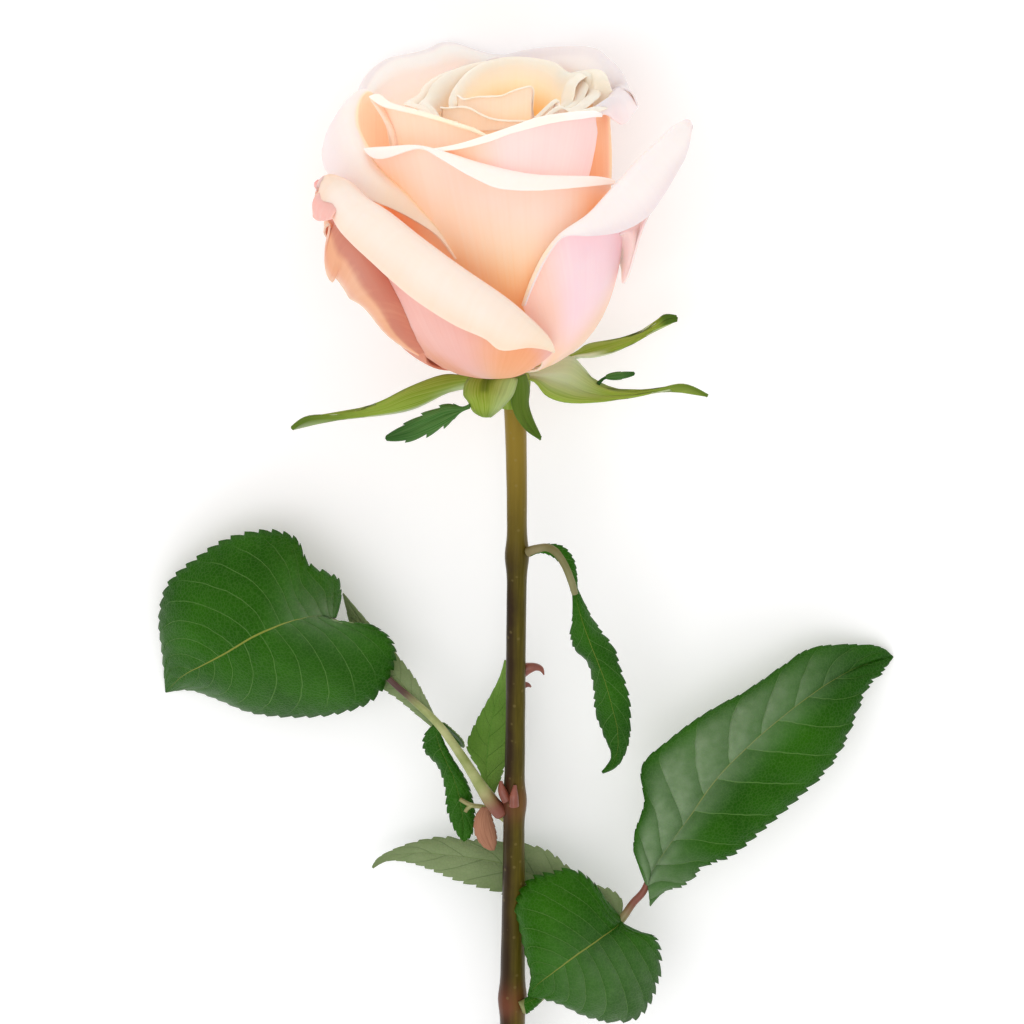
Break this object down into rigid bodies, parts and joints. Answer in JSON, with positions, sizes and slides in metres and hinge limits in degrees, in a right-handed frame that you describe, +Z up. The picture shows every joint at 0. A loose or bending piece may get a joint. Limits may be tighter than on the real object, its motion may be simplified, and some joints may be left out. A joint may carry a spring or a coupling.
{
  "type": "cut rose",
  "caption": "Cut rose lying on a surface: a layered half-open bloom, folded sepals, a straight prickly stem and compound leaves with toothed leaflets.",
  "frame": {"origin": "on the surface, under the middle of the whole rose's box", "axes": "+Z up from the surface, +Y along the rose from its cut end to its bloom"},
  "size_m": [0.16, 0.3184, 0.0716],
  "materials": {
    "petals": "soft, faintly translucent petal skin, cream inside and pink outside",
    "sepals": "matt light green",
    "stem": "satin olive and brown bark",
    "leaves": "satin dark green above, paler and matt beneath",
    "bract": "dry, matt, pinkish brown"
  },
  "bodies": {
    "root": {"bloom": "petals", "stem": "stem", "calyx": "sepals", "leaf_upper": "leaves", "leaf_left": "leaves", "leaf_right": "leaves", "bract": "bract"}
  },
  "joints": []
}
